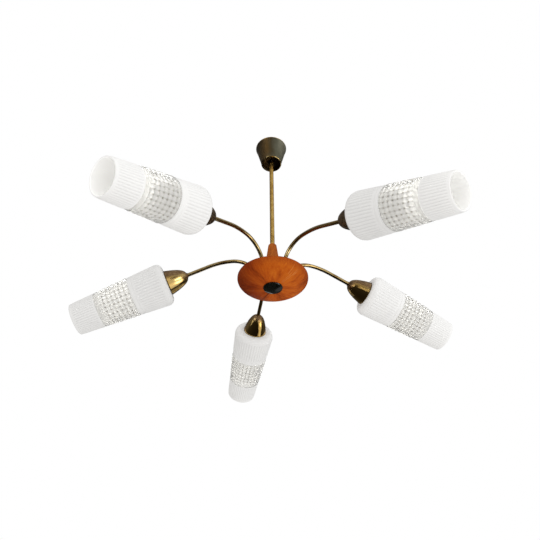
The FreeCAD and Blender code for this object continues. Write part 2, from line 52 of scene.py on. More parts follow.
# The pieces on the lamp's upright axis, in mm.
ROD_R = 5.0
CANOPY_TOP_Z = 21.4
CANOPY_LOW_Z = -37.4
CANOPY_TOP_R = 38.25
CANOPY_LOW_R = 24.25
CANOPY_WALL = 1.0
CANOPY_FLOOR_Z = -31.0
CANOPY_FLOOR_HOLE_R = 5.6
BEAD_R = 1.5
BEAD_CENTRE_R = 23.75
BEAD_Z = -37.0
LIP_R = 1.0
LIP_CENTRE_R = 37.65
# The lip starts this far below the top, and the floor's edge is bevelled by FLOOR_EDGE.
LIP_RUN = 2.4
FLOOR_EDGE = 0.6
BEAD_STEPS = 14
CONE_STEPS = 16
LIP_STEPS = 10
CONE_INNER_STEPS = 6
SAUCER_R = 73.0
SEAM_Z = -401.0
BOWL_BAND_Z = -402.0
BOWL_DEEP = 23.0
BOWL_FLAT_Z = -423.5
BOWL_INNER_R = 66.0
BOWL_INNER_DEEP = 17.0
BOWL_INNER_FLAT_R = 12.0
BOWL_STEPS = 48
BOWL_INNER_STEPS = 16
WASHER_THICK = 0.8
CAP_R = 19.4
CAP_EDGE = 1.2
CAP_HIGH = 7.0
CAP_BORE_DEEP = 3.5
CAP_STEPS = 28

# The heads whose cups have gone dull all over.
DULL_CUPS = (3, 4)
# Painted light: how white the glass of each head is drawn at its shoulder and at its mouth,
# set head by head and end to end for how the light falls on it.
OPAL_PAINTED_LIGHT_TONES = {1: (0.79, 0.82), 2: (0.76, 0.77), 3: (0.88, 0.89), 4: (0.79, 0.92), 5: (0.87, 0.89)}
# The painted tone runs from one to the other between these distances from the tip of the cup,
# in metres.
PAINTED_LIGHT_TONE_RUN = (0.15, 0.24)
OPAL_TINT = (1.0, 0.996, 0.982)
# Painted shade in the grooves between the ribs: what is left of the tone there, the shares of a rib
# where the shade starts and is full, and the metres over which it fades in at its ends.
RIB_GROOVE_PAINTED_SHADE = 0.93
RIB_GROOVE_SHADE_EDGE = (0.22, 0.04)
RIB_GROOVE_SHADE_FADE = 0.004
# Painted shade in the hollows of the clear band, in shares of a stud: faint lines between two
# studs, and full spots where four meet.
STUD_LINE_SHADE_EDGE = (0.16, 0.04)
STUD_LINE_SHADE_STRENGTH = 0.16
STUD_SPOT_SHADE_EDGE = (0.26, 0.10)
# Polished metal sees a dimmer room than the one that lights the lamp, so it sees dimmer wood too.
MIRRORED_DIM = 0.75
# The stain at a cup's tip ends and is full at about these distances along the cup, in metres.
TIP_STAIN = (0.017, 0.009)
# Painted shade: the bead is drawn bright in front of the first of these depths and nearly black
# behind the second, in metres.
BEAD_PAINTED_SHADE = (-0.008, 0.010)
# Painted shade darkens the saucer's rim between these distances in from its edge, in mm.
RIM_PAINTED_SHADE_EDGE = (9.0, 0.5)
# Marks on the underside of the saucer: degrees round, start and end radius, width, in metres.
SCRATCHES = [(314.0, 0.022, 0.068, 0.0004), (309.0, 0.026, 0.066, 0.0003),
             (304.0, 0.048, 0.070, 0.0004), (317.0, 0.050, 0.069, 0.0003)]
CRACK = (112.0, 0.018, 0.072, 0.0012)
# How far a mark fades in at its ends, strays aside and softens at its edges, in metres.
MARK_FADE = 0.004
MARK_WANDER = 0.0008
MARK_SOFTNESS = 0.0004

# Along a lamp head, distances run in mm from the tip of the cup to the mouth of the glass.
SOCKET_MIDDLE = 50.5
CUP_R = 27.0
CUP_POWER = 0.36
CUP_WALL = 1.0
CUP_NECK_R = 5.2
CUP_NECK_START = -2.0
CUP_STEPS = 36
CUP_INNER_STEPS = 18
# The cup's dark rim starts and is full at these distances short of the flat base of the glass.
DARK_RIM = (2.5, 0.8)
ARM_R = 4.0
GLASS_BASE = 44.1

# The glass, in mm from its flat base.
GLASS_HOLE_R = 20.2
GLASS_FLAT_R = 33.1
SHOULDER_R = 12.5
GLASS_WALL = 3.0
MOUTH_R = 33.1
GLASS_LONG = 202.8
SHOULDER_STEPS = 9
MOUTH_STEPS = 8
INNER_WALL_STEPS = 10
INNER_SHOULDER_STEPS = 6
RIBS = 45
RIB_COLUMNS = 6
RIB_DEEP = 1.0
UPPER_RIBS = (10.5, 64.5)
LOWER_RIBS = (151.5, 199.0)
RIB_FADE = 3.0
GROOVE_AT = 67.5
GROOVE_DEEP = 0.5
STUD_BAND = (76.0, 141.0)
STUD_ROWS = 7
STUDS_ROUND = 27
STUD_STEPS = 8
STUD_HIGH = 2.1
STUD_SQUARENESS = 2.6
CLEAR_END = 150.0


# ---------------------------------------------------------------- materials

def new_material(name):
    material = bpy.data.materials.new(name)
    material.use_nodes = True
    tree = material.node_tree
    return material, tree, tree.nodes["Principled BSDF"]


def place(tree, scale=(1.0, 1.0, 1.0)):
    """The piece's own coordinates, in metres, stretched by scale."""
    coordinates = tree.nodes.new("ShaderNodeTexCoord")
    mapping = tree.nodes.new("ShaderNodeMapping")
    mapping.inputs["Scale"].default_value = scale
    tree.links.new(coordinates.outputs["Object"], mapping.inputs["Vector"])
    return mapping.outputs["Vector"]


def noise(tree, vector, scale, detail=4.0, roughness=0.55, distortion=0.0):
    """Noise that hardly leaves 0.3 to 0.7, whatever its scale."""
    node = tree.nodes.new("ShaderNodeTexNoise")
    node.inputs["Scale"].default_value = scale
    node.inputs["Detail"].default_value = detail
    node.inputs["Roughness"].default_value = roughness
    node.inputs["Distortion"].default_value = distortion
    tree.links.new(vector, node.inputs["Vector"])
    return node.outputs["Fac"]


def ramp(tree, value, stops):
    """A colour for each value from 0 to 1, from stops of (position, colour)."""
    node = tree.nodes.new("ShaderNodeValToRGB")
    elements = node.color_ramp.elements
    while len(elements) < len(stops):
        elements.new(0.5)
    for element, (position, colour) in zip(elements, stops):
        element.position = position
        element.color = (*colour, 1.0)
    tree.links.new(value, node.inputs["Fac"])
    return node.outputs["Color"]


def level(tree, value, low, high, to_low=0.0, to_high=1.0):
    """Map a value straight from one range to another, held at both ends."""
    node = tree.nodes.new("ShaderNodeMapRange")
    for socket, number in zip(node.inputs[1:5], (low, high, to_low, to_high)):
        socket.default_value = number
    tree.links.new(value, node.inputs["Value"])
    return node.outputs["Result"]


def feed(tree, value, socket):
    """Give a socket a plain number, a plain colour or the output of another node."""
    if isinstance(value, (int, float)):
        socket.default_value = value
    elif isinstance(value, tuple):
        socket.default_value = (*value, 1.0)
    else:
        tree.links.new(value, socket)


def maths(tree, operation, *values):
    node = tree.nodes.new("ShaderNodeMath")
    node.operation = operation
    for value, socket in zip(values, node.inputs):
        feed(tree, value, socket)
    return node.outputs["Value"]


def blend(tree, share, first, second, mode="MIX"):
    """Mix two colours, with share of the second."""
    node = tree.nodes.new("ShaderNodeMix")
    node.data_type = "RGBA"
    node.blend_type = mode
    # The node has its colour sockets after those for numbers and vectors.
    feed(tree, share, node.inputs[0])
    feed(tree, first, node.inputs[6])
    feed(tree, second, node.inputs[7])
    return node.outputs[2]


def bump(tree, shader, height, strength, distance):
    node = tree.nodes.new("ShaderNodeBump")
    node.inputs["Strength"].default_value = strength
    node.inputs["Distance"].default_value = distance
    tree.links.new(height, node.inputs["Height"])
    tree.links.new(node.outputs["Normal"], shader.inputs["Normal"])


def parts_of(tree, vector):
    node = tree.nodes.new("ShaderNodeSeparateXYZ")
    tree.links.new(vector, node.inputs["Vector"])
    return node.outputs["X"], node.outputs["Y"], node.outputs["Z"]


def joined(tree, x, y, z):
    node = tree.nodes.new("ShaderNodeCombineXYZ")
    for value, socket in zip((x, y, z), node.inputs):
        feed(tree, value, socket)
    return node.outputs["Vector"]


def distance_from_axis(tree, x, y):
    return maths(tree, "SQRT", maths(tree, "ADD", maths(tree, "MULTIPLY", x, x),
                                     maths(tree, "MULTIPLY", y, y)))


def radial_place(tree, across, outward, upward):
    """Coordinates that run round and out from the Z axis, for grain that spreads from a centre.

    The distance from the axis comes back with them.
    """
    x, y, z = parts_of(tree, place(tree))
    radius = distance_from_axis(tree, x, y)
    safe = maths(tree, "MAXIMUM", radius, LEAST_RADIUS)
    turn_x = maths(tree, "MULTIPLY", maths(tree, "DIVIDE", x, safe), across)
    turn_y = maths(tree, "MULTIPLY", maths(tree, "DIVIDE", y, safe), across)
    depth = maths(tree, "ADD", maths(tree, "MULTIPLY", radius, outward),
                  maths(tree, "MULTIPLY", z, upward))
    return joined(tree, turn_x, turn_y, depth), radius


def metal(name, dull, main, bright, rough=(0.12, 0.3), scale=60.0, speckle=0.0):
    """Metal whose colour and polish wander, with a share of small dark specks."""
    material, tree, shader = new_material(name)
    here = place(tree)
    wander = noise(tree, here, scale, 5.0, 0.6)
    colour = ramp(tree, wander, [(0.3, dull), (0.5, main), (0.72, bright)])
    if speckle:
        specks = level(tree, noise(tree, here, 420.0, 2.0), 0.64, 0.74)
        colour = blend(tree, maths(tree, "MULTIPLY", specks, speckle), colour, dull)
    tree.links.new(colour, shader.inputs["Base Color"])
    tree.links.new(level(tree, wander, 0.3, 0.7, rough[1], rough[0]), shader.inputs["Roughness"])
    shader.inputs["Metallic"].default_value = 1.0
    bump(tree, shader, noise(tree, here, 260.0, 2.0), 0.03, 0.0002)
    return material


def plastic(name, low, high, rough=(0.3, 0.45), scale=300.0, strength=0.15, shine=0.5):
    """Moulded plastic or glazed ware with a fine uneven surface."""
    material, tree, shader = new_material(name)
    here = place(tree)
    wander = noise(tree, here, scale, 4.0)
    tree.links.new(ramp(tree, wander, [(0.3, low), (0.7, high)]), shader.inputs["Base Color"])
    tree.links.new(level(tree, wander, 0.3, 0.7, rough[0], rough[1]), shader.inputs["Roughness"])
    shader.inputs["Specular IOR Level"].default_value = shine
    bump(tree, shader, wander, strength, 0.0003)
    return material


def painted_rib_groove_shade(tree):
    """Painted shade: one in the bottoms of the grooves between the ribs, nought elsewhere."""
    side, upward, along = parts_of(tree, place(tree))
    turn = maths(tree, "DIVIDE", maths(tree, "ARCTAN2", upward, side), 2 * math.pi)
    column = maths(tree, "PINGPONG", maths(tree, "MULTIPLY", turn, RIBS), 0.5)
    groove = level(tree, column, *RIB_GROOVE_SHADE_EDGE)
    ribbed = None
    for first, last in (UPPER_RIBS, LOWER_RIBS):
        start = (GLASS_BASE + first) * MM
        end = (GLASS_BASE + last) * MM
        there = maths(tree, "MULTIPLY", level(tree, along, start, start + RIB_GROOVE_SHADE_FADE),
                      level(tree, along, end, end - RIB_GROOVE_SHADE_FADE))
        ribbed = there if ribbed is None else maths(tree, "ADD", ribbed, there)
    return maths(tree, "MULTIPLY", groove, ribbed)


def opal_glass(name, tone, mouth_tone, glow=0.0):
    """White glass whose painted tone runs from shoulder to mouth, with painted shade between its ribs.

    A glow stands for the light that real glass would let through.
    """
    material, tree, shader = new_material(name)
    here = place(tree)
    cloud = noise(tree, here, 28.0, 3.0)
    grain = noise(tree, here, 140.0, 3.0)
    _, _, along = parts_of(tree, here)
    tones = level(tree, along, *PAINTED_LIGHT_TONE_RUN, tone, mouth_tone)
    tones = maths(tree, "MULTIPLY", tones, level(tree, cloud, 0.3, 0.7, 0.97, 1.0))
    # Painted shade in the grooves between the ribs.
    tones = maths(tree, "MULTIPLY", tones,
                  level(tree, painted_rib_groove_shade(tree), 0.0, 1.0, 1.0, RIB_GROOVE_PAINTED_SHADE))
    colour = joined(tree, *[maths(tree, "MULTIPLY", tones, tint) for tint in OPAL_TINT])
    tree.links.new(colour, shader.inputs["Base Color"])
    tree.links.new(level(tree, grain, 0.3, 0.7, 0.26, 0.38), shader.inputs["Roughness"])
    shader.inputs["Specular IOR Level"].default_value = 0.1
    tree.links.new(colour, shader.inputs["Emission Color"])
    shader.inputs["Emission Strength"].default_value = glow
    bump(tree, shader, grain, 0.03, 0.0002)
    return material


def painted_stud_hollow_shade(tree):
    """Painted shade: one where four studs meet, a little between two, nought on the studs and off
    their band.
    """
    side, upward, along = parts_of(tree, place(tree))
    turn = maths(tree, "DIVIDE", maths(tree, "ARCTAN2", upward, side), 2 * math.pi)
    column = maths(tree, "PINGPONG", maths(tree, "MULTIPLY", turn, STUDS_ROUND), 0.5)
    down = level(tree, along, (GLASS_BASE + STUD_BAND[0]) * MM, (GLASS_BASE + STUD_BAND[1]) * MM,
                 0.0, float(STUD_ROWS))
    row = maths(tree, "PINGPONG", down, 0.5)
    shade_lines = level(tree, maths(tree, "MINIMUM", column, row), *STUD_LINE_SHADE_EDGE, 0.0, STUD_LINE_SHADE_STRENGTH)
    shade_spots = level(tree, maths(tree, "MAXIMUM", column, row), *STUD_SPOT_SHADE_EDGE)
    hollow_shade = maths(tree, "MAXIMUM", shade_lines, shade_spots)
    inside = maths(tree, "MULTIPLY", maths(tree, "GREATER_THAN", down, 0.1),
                   maths(tree, "LESS_THAN", down, STUD_ROWS - 0.1))
    return maths(tree, "MULTIPLY", hollow_shade, inside)


def clear_glass():
    """Clear glass, with painted shade in the hollows between its studs, and greyer on the plain ring
    past them.
    """
    material, tree, shader = new_material("clear_glass")
    here = place(tree)
    streak = noise(tree, place(tree, (1.0, 1.0, 0.3)), 160.0, 3.0)
    colour = ramp(tree, streak, [(0.3, (0.96, 0.955, 0.93)), (0.7, (1.0, 1.0, 0.985))])
    # Painted shade in the hollows between the studs.
    hollow_shade = maths(tree, "MULTIPLY", painted_stud_hollow_shade(tree), level(tree, streak, 0.3, 0.6, 0.4, 1.0))
    colour = blend(tree, hollow_shade, colour, (0.47, 0.44, 0.40))
    _, _, along = parts_of(tree, here)
    studs_end = GLASS_BASE + STUD_BAND[1]
    plain = level(tree, along, studs_end * MM, (studs_end + 2) * MM, 0.0, 0.35)
    colour = blend(tree, plain, colour, (0.72, 0.71, 0.69))
    tree.links.new(colour, shader.inputs["Base Color"])
    tree.links.new(level(tree, noise(tree, here, 220.0, 2.0), 0.3, 0.7, 0.03, 0.12),
                   shader.inputs["Roughness"])
    shader.inputs["Transmission Weight"].default_value = 0.66
    shader.inputs["IOR"].default_value = 1.22
    bump(tree, shader, streak, 0.1, 0.0003)
    return material


def radial_line(tree, turn, start, end, thick):
    """A thin line that leaves the Z axis at turn degrees and runs from start to end, in metres."""
    x, y, _ = parts_of(tree, place(tree))
    ahead = (math.cos(math.radians(turn)), math.sin(math.radians(turn)))
    run = maths(tree, "ADD", maths(tree, "MULTIPLY", x, ahead[0]),
                maths(tree, "MULTIPLY", y, ahead[1]))
    aside = maths(tree, "ABSOLUTE", maths(tree, "SUBTRACT", maths(tree, "MULTIPLY", x, ahead[1]),
                                          maths(tree, "MULTIPLY", y, ahead[0])))
    wander = noise(tree, place(tree), 90.0, 3.0)
    aside = maths(tree, "ADD", aside, maths(tree, "MULTIPLY", wander, MARK_WANDER))
    line = level(tree, aside, thick + MARK_SOFTNESS, thick * 0.4 + MARK_SOFTNESS)
    line = maths(tree, "MULTIPLY", line, level(tree, run, start, start + MARK_FADE))
    return maths(tree, "MULTIPLY", line, level(tree, run, end, end - MARK_FADE))


def saucer_shade_and_wear(tree, colour, radius):
    """Painted shade on one side and at the rim, a few scratches and a drying crack."""
    x, y, _ = parts_of(tree, place(tree))
    wander = noise(tree, place(tree), 30.0, 3.0)
    # Painted shade, darker towards the left side, for the light that comes from the right.
    across = maths(tree, "ADD", maths(tree, "SUBTRACT", x, maths(tree, "MULTIPLY", y, 0.15)),
                   maths(tree, "MULTIPLY", maths(tree, "SUBTRACT", wander, 0.5), 0.03))
    side_shade = ramp(tree, level(tree, across, -SAUCER_R * MM, SAUCER_R * MM),
                 [(0.0, (0.26, 0.16, 0.12)), (0.22, (0.52, 0.36, 0.26)), (0.42, (0.88, 0.80, 0.70)),
                  (0.75, (1.0, 1.0, 1.0)), (1.0, (0.9, 0.86, 0.8))])
    colour = blend(tree, 1.0, colour, side_shade, "MULTIPLY")
    # Painted shade at the rim.
    rim = level(tree, radius, (SAUCER_R - RIM_PAINTED_SHADE_EDGE[0]) * MM, (SAUCER_R - RIM_PAINTED_SHADE_EDGE[1]) * MM)
    colour = blend(tree, maths(tree, "MULTIPLY", rim, 0.4), colour, (0.22, 0.03, 0.004))
    for scratch in SCRATCHES:
        line = radial_line(tree, *scratch)
        colour = blend(tree, maths(tree, "MULTIPLY", line, 0.45), colour, (0.74, 0.38, 0.14))
    crack = radial_line(tree, *CRACK)
    return blend(tree, maths(tree, "MULTIPLY", crack, 0.8), colour, (0.07, 0.01, 0.002))


def teak(name, dark, main, light, radial):
    """Oiled teak: streaks that run out from the centre of a turned bowl, or along a spindle."""
    material, tree, shader = new_material(name)
    if radial:
        broad_place, radius = radial_place(tree, 0.35, 2.5, 3.0)
        fine_place, _ = radial_place(tree, 2.2, 5.0, 8.0)
    else:
        broad_place = place(tree, (9.0, 9.0, 0.9))
        fine_place = place(tree, (70.0, 70.0, 3.0))
    broad = noise(tree, broad_place, 4.0, 4.0, 0.6, 0.6)
    fine = noise(tree, fine_place, 11.0, 6.0, 0.65, 0.2)
    both = maths(tree, "ADD", maths(tree, "MULTIPLY", broad, 0.6),
                 maths(tree, "MULTIPLY", fine, 0.4))
    colour = ramp(tree, both, [(0.34, dark), (0.5, main), (0.64, light)])
    pores = level(tree, noise(tree, fine_place, 42.0, 3.0, 0.7), 0.6, 0.72)
    colour = blend(tree, maths(tree, "MULTIPLY", pores, 0.45), colour, dark)
    if radial:
        colour = saucer_shade_and_wear(tree, colour, radius)
    mirrored = tree.nodes.new("ShaderNodeLightPath").outputs["Is Glossy Ray"]
    colour = blend(tree, maths(tree, "MULTIPLY", mirrored, MIRRORED_DIM), colour, (0.0, 0.0, 0.0))
    tree.links.new(colour, shader.inputs["Base Color"])
    tree.links.new(level(tree, fine, 0.3, 0.7, 0.34, 0.5), shader.inputs["Roughness"])
    shader.inputs["Specular IOR Level"].default_value = 0.06
    bump(tree, shader, maths(tree, "SUBTRACT", fine, pores), 0.25, 0.0003)
    return material


def cup_brass(name, tarnish, stains):
    """Polished brass, stained and dull along its upper side and at its tip, with a dark rim.

    tarnish is how dull the rest of it is, from 0 to 1.
    """
    material, tree, shader = new_material(name)
    here = place(tree)
    side, upward, along = parts_of(tree, here)
    radius = distance_from_axis(tree, side, upward)
    upward = maths(tree, "DIVIDE", upward, maths(tree, "MAXIMUM", radius, LEAST_RADIUS))
    wander = noise(tree, place(tree, (1.0, 1.0, 0.35)), 60.0, 5.0, 0.6)
    colour = ramp(tree, wander, [(0.3, (0.46, 0.26, 0.06)), (0.5, (0.72, 0.47, 0.15)),
                                 (0.72, (0.86, 0.64, 0.28))])
    above = level(tree, maths(tree, "ADD", upward, maths(tree, "MULTIPLY", wander, 0.5)),
                  -0.10, 0.12)
    tip = level(tree, maths(tree, "ADD", along, maths(tree, "MULTIPLY", wander, 0.012)), *TIP_STAIN)
    dulled = maths(tree, "MAXIMUM", maths(tree, "MAXIMUM", above, tip), tarnish)
    stain = ramp(tree, noise(tree, here, 120.0, 5.0, 0.7), list(zip((0.35, 0.5, 0.65), stains)))
    colour = blend(tree, maths(tree, "MULTIPLY", dulled, 0.9), colour, stain)
    rim_start, rim_full = [(GLASS_BASE - above_base) * MM for above_base in DARK_RIM]
    rim = level(tree, along, rim_start, rim_full, 0.0, 0.85)
    colour = blend(tree, rim, colour, (0.04, 0.025, 0.012))
    tree.links.new(colour, shader.inputs["Base Color"])
    tree.links.new(maths(tree, "MULTIPLY_ADD", dulled, 0.36, 0.06), shader.inputs["Roughness"])
    shader.inputs["Metallic"].default_value = 1.0
    streaks = noise(tree, radial_place(tree, 9.0, 6.0, 6.0)[0], 5.0, 3.0)
    bump(tree, shader, streaks, 0.16, 0.0006)
    return material


def canopy_brass():
    """Old brass gone olive-brown, with lighter rubbed patches, and painted light that pales one side
    and darkens the other edge.
    """
    material, tree, shader = new_material("canopy_brass")
    here = place(tree, (1.0, 1.0, 0.5))
    patch = noise(tree, here, 22.0, 4.0, 0.55, 0.8)
    fine = noise(tree, here, 240.0, 4.0)
    colour = ramp(tree, patch, [(0.3, (0.06, 0.046, 0.022)), (0.5, (0.12, 0.10, 0.06)),
                                (0.68, (0.20, 0.19, 0.14))])
    # Partly the brass's own brown and olive, partly painted light: dark at the left edge and pale at
    # the right, for how light and reflections fall on the cone.
    side, _, _ = parts_of(tree, place(tree))
    wander = maths(tree, "MULTIPLY", maths(tree, "SUBTRACT", patch, 0.5), 0.03)
    half_width = 0.036
    across = level(tree, maths(tree, "ADD", side, wander), -half_width, half_width)
    colour = blend(tree, 0.75, colour, ramp(tree, across, [
        (0.0, (0.06, 0.045, 0.020)), (0.30, (0.19, 0.105, 0.026)), (0.50, (0.11, 0.085, 0.040)),
        (0.72, (0.15, 0.150, 0.100)), (1.0, (0.44, 0.42, 0.31))]))
    tree.links.new(colour, shader.inputs["Base Color"])
    tree.links.new(level(tree, fine, 0.3, 0.7, 0.34, 0.5), shader.inputs["Roughness"])
    shader.inputs["Metallic"].default_value = 0.85
    bump(tree, shader, fine, 0.1, 0.0002)
    return material


def bead_brass():
    """The rolled bead, polished, with painted shade that turns it nearly black towards the back."""
    material, tree, shader = new_material("bead_brass")
    here = place(tree)
    side, deep, _ = parts_of(tree, here)
    wander = noise(tree, here, 60.0, 4.0)
    colour = ramp(tree, wander, [(0.3, (0.55, 0.38, 0.14)), (0.5, (0.82, 0.60, 0.24)),
                                 (0.7, (0.9, 0.74, 0.42))])
    # Painted shade, which darkens and roughens the back of the bead.
    behind = maths(tree, "SUBTRACT", deep, maths(tree, "MULTIPLY", side, 0.8))
    behind = maths(tree, "ADD", behind, maths(tree, "MULTIPLY", wander, 0.01))
    tarnish = level(tree, behind, *BEAD_PAINTED_SHADE, 0.0, 0.92)
    tree.links.new(blend(tree, tarnish, colour, (0.05, 0.035, 0.015)), shader.inputs["Base Color"])
    tree.links.new(maths(tree, "MULTIPLY_ADD", tarnish, 0.25, 0.12), shader.inputs["Roughness"])
    shader.inputs["Metallic"].default_value = 1.0
    bump(tree, shader, wander, 0.05, 0.0002)
    return material


def floor_brass_painted_shade():
    """The canopy's floor, brown on one side and darkened nearly black on the other by painted shade.
    """
    material, tree, shader = new_material("floor_brass_painted_shade")
    here = place(tree)
    wander = noise(tree, here, 40.0, 4.0)
    # Painted shade, from brown on one side to nearly black on the other.
    across = maths(tree, "ADD", parts_of(tree, here)[0],
                   maths(tree, "MULTIPLY", wander, 0.012))
    floor_r = 0.024
    colour = ramp(tree, level(tree, across, -floor_r, floor_r),
                  [(0.1, (0.30, 0.18, 0.06)), (0.45, (0.20, 0.12, 0.045)),
                   (0.75, (0.03, 0.02, 0.01))])
    tree.links.new(colour, shader.inputs["Base Color"])
    tree.links.new(level(tree, wander, 0.3, 0.7, 0.5, 0.65), shader.inputs["Roughness"])
    shader.inputs["Metallic"].default_value = 1.0
    bump(tree, shader, wander, 0.1, 0.0003)
    return material


def make_materials():
    return {
        "opal_inside": opal_glass("opal_inside", 0.97, 0.97, 0.10),
        "clear": clear_glass(),
        "arm": metal("arm_brass", (0.34, 0.20, 0.07), (0.66, 0.46, 0.18), (0.84, 0.66, 0.34),
                     (0.10, 0.22), 45.0, 0.5),
        "cup": cup_brass("cup_brass", 0.0, ((0.17, 0.10, 0.055), (0.32, 0.19, 0.10),
                                            (0.50, 0.34, 0.18))),
        "dull_cup": cup_brass("dull_cup_brass", 0.95, ((0.10, 0.075, 0.055), (0.24, 0.18, 0.13),
                                                       (0.42, 0.34, 0.26))),
        "rod": metal("rod_brass", (0.56, 0.33, 0.08), (0.84, 0.52, 0.13), (0.96, 0.66, 0.21),
                     (0.3, 0.45), 80.0, 0.4),
        "bead": bead_brass(),
        "canopy": canopy_brass(),
        "dark": metal("dark_brass", (0.02, 0.016, 0.01), (0.05, 0.04, 0.025), (0.10, 0.075, 0.04),
                      (0.25, 0.45)),
        # The canopy's floor, darkened to one side by painted shade.
        "stained": floor_brass_painted_shade(),
        "nickel": metal("nickel", (0.38, 0.36, 0.33), (0.55, 0.53, 0.50), (0.68, 0.67, 0.64),
                        (0.12, 0.25)),
        "steel": metal("zinc_steel", (0.36, 0.36, 0.35), (0.50, 0.50, 0.49), (0.62, 0.62, 0.61),
                       (0.25, 0.42), 120.0, 0.3),
        "contact": metal("contact_brass", (0.5, 0.34, 0.13), (0.72, 0.53, 0.24),
                         (0.82, 0.65, 0.34), (0.2, 0.35)),
        "button": plastic("button_enamel", (0.002, 0.003, 0.002), (0.006, 0.007, 0.005),
                          (0.05, 0.12), 90.0, 0.02, 1.0),
        "bakelite": plastic("bakelite", (0.70, 0.65, 0.54), (0.80, 0.76, 0.66)),
        "porcelain": plastic("porcelain", (0.70, 0.67, 0.60), (0.80, 0.78, 0.72), (0.12, 0.3)),
        "flex": plastic("flex_pvc", (0.60, 0.56, 0.48), (0.68, 0.65, 0.57), (0.4, 0.55)),
        "saucer": teak("saucer_teak", (0.17, 0.024, 0.0015), (0.46, 0.085, 0.004),
                       (0.60, 0.15, 0.010), True),
        "neck": teak("neck_teak", (0.20, 0.04, 0.004), (0.36, 0.09, 0.009),
                     (0.46, 0.14, 0.02), False),
    }


MATERIALS = make_materials()
# Each head gets its own copy of the opal glass, with its own painted light.
for head, (upper_tone, mouth_tone) in OPAL_PAINTED_LIGHT_TONES.items():
    opal_name = "opal_%d" % head
    MATERIALS[opal_name] = opal_glass(opal_name, upper_tone, mouth_tone)


# ---------------------------------------------------------------- meshes

def lathe(name, outline, columns, matrix, materials, material_of=None, shape=None):
    """Turn a closed outline of (radius, height) points in mm round local Z.

    shape(radius, height, turn) may move a point; turn runs from 0 to 1 round the piece.
    material_of(height, row) picks a face's material by number.
    """
    points = []
    rings = []
    for radius, height in outline:
        count = 1 if radius < 1e-6 else columns
        ring = []
        for k in range(count):
            turn = k / columns
            r, h = shape(radius, height, turn) if shape else (radius, height)
            angle = 2 * math.pi * turn
            ring.append(len(points))
            points.append((r * math.cos(angle) * MM, r * math.sin(angle) * MM, h * MM))
        rings.append(ring)
    faces = []
    slots = []
    for row, (near, far) in enumerate(zip(rings, rings[1:] + rings[:1])):
        middle = (outline[row][1] + outline[(row + 1) % len(outline)][1]) / 2
        for k in range(columns):
            after = (k + 1) % columns
            face = [near[k % len(near)], near[after % len(near)],
                    far[after % len(far)], far[k % len(far)]]
            face = list(dict.fromkeys(face))
            if len(face) > 2:
                faces.append(face)
                slots.append(material_of(middle, row) if material_of else 0)
    mesh = bpy.data.meshes.new(name)
    mesh.from_pydata(points, [], faces)
    for material in materials:
        mesh.materials.append(material)
    mesh.polygons.foreach_set("material_index", slots)
    mesh.shade_smooth()
    mesh.validate()
    piece = bpy.data.objects.new(name, mesh)
    bpy.context.scene.collection.objects.link(piece)
    piece.matrix_world = matrix
    return piece


def steps(low, high, count):
    """Both ends and the even steps between them, count + 1 values in all."""
    return [low + (high - low) * k / count for k in range(count + 1)]


def head_matrix(number):
    """Local Z runs from the tip of the cup to the mouth of the glass, and local Y points up."""
    mount = MOUNTS["lamp_socket_%d" % number]
    along = Vector(mount["axis"]).normalized()
    tip = Vector(mount["pos_m"]) - along * SOCKET_MIDDLE * MM
    side = Vector((0, 0, 1)).cross(along).normalized()
    turn = Matrix((side, along.cross(side), along)).transposed()
    return Matrix.Translation(tip) @ turn.to_4x4()


def fade(value, low, high, width):
    """1 between low and high, falling smoothly to 0 within width inside each end."""
    share = min((value - low) / width, (high - value) / width, 1.0)
    share = max(share, 0.0)
    return share * share * (3 - 2 * share)


def taper_r(s):
    """Radius of the plain glass below its shoulder."""
    wide = GLASS_FLAT_R + SHOULDER_R
    return wide + (MOUTH_R - wide) * (s - SHOULDER_R) / (GLASS_LONG - SHOULDER_R)


def outer_rows():
    """Heights of the rows down the outside, close together where the surface is worked."""
    rows = [13.5, 15.0, 17.0, 22.0, 30.0, 38.0, 46.0, 54.0, 60.0, 61.5, 62.5, 63.5, 64.5, 66.0]
    rows += [GROOVE_AT + step for step in (-0.8, -0.4, 0.0, 0.4, 0.8)]
    rows += [70.0, 73.0, 75.0]
    rows += steps(STUD_BAND[0], STUD_BAND[1], STUD_ROWS * STUD_STEPS)
    rows += [142.0, 144.0, 147.0, 149.0, CLEAR_END, 151.5, 152.5, 153.5, 154.5, 157.0]
    rows += [163.0, 170.0, 177.0, 184.0, 190.0, 194.0, 196.0, 197.0, 198.0, 199.0, 200.0]
    return rows


def glass_outline():
    """The plain glass: its base, shoulder, outside, mouth and inside."""
    outline = [(GLASS_HOLE_R, 0.0), (GLASS_HOLE_R + 0.4, 0.0), (GLASS_FLAT_R, 0.0)]
    for angle in steps(0.0, math.pi / 2, SHOULDER_STEPS)[1:]:
        outline.append((GLASS_FLAT_R + SHOULDER_R * math.sin(angle),
                        SHOULDER_R * (1 - math.cos(angle))))
    outline += [(taper_r(s), s) for s in outer_rows()]
    lip = GLASS_WALL / 2
    middle_r = MOUTH_R - lip
    for angle in steps(0.0, math.pi, MOUTH_STEPS):
        outline.append((middle_r + lip * math.cos(angle), GLASS_LONG - lip + lip * math.sin(angle)))
    inner_rows = [CLEAR_END, STUD_BAND[0]] + steps(20.0, 190.0, INNER_WALL_STEPS)
    inner_rows.sort(reverse=True)
    outline += [(taper_r(s) - GLASS_WALL, s) for s in inner_rows]
    inner_turn = SHOULDER_R - GLASS_WALL
    for angle in steps(math.pi / 2, 0.0, INNER_SHOULDER_STEPS):
        outline.append((GLASS_FLAT_R + inner_turn * math.sin(angle),
                        SHOULDER_R - inner_turn * math.cos(angle)))
    outline.append((GLASS_HOLE_R, GLASS_WALL))
    return outline


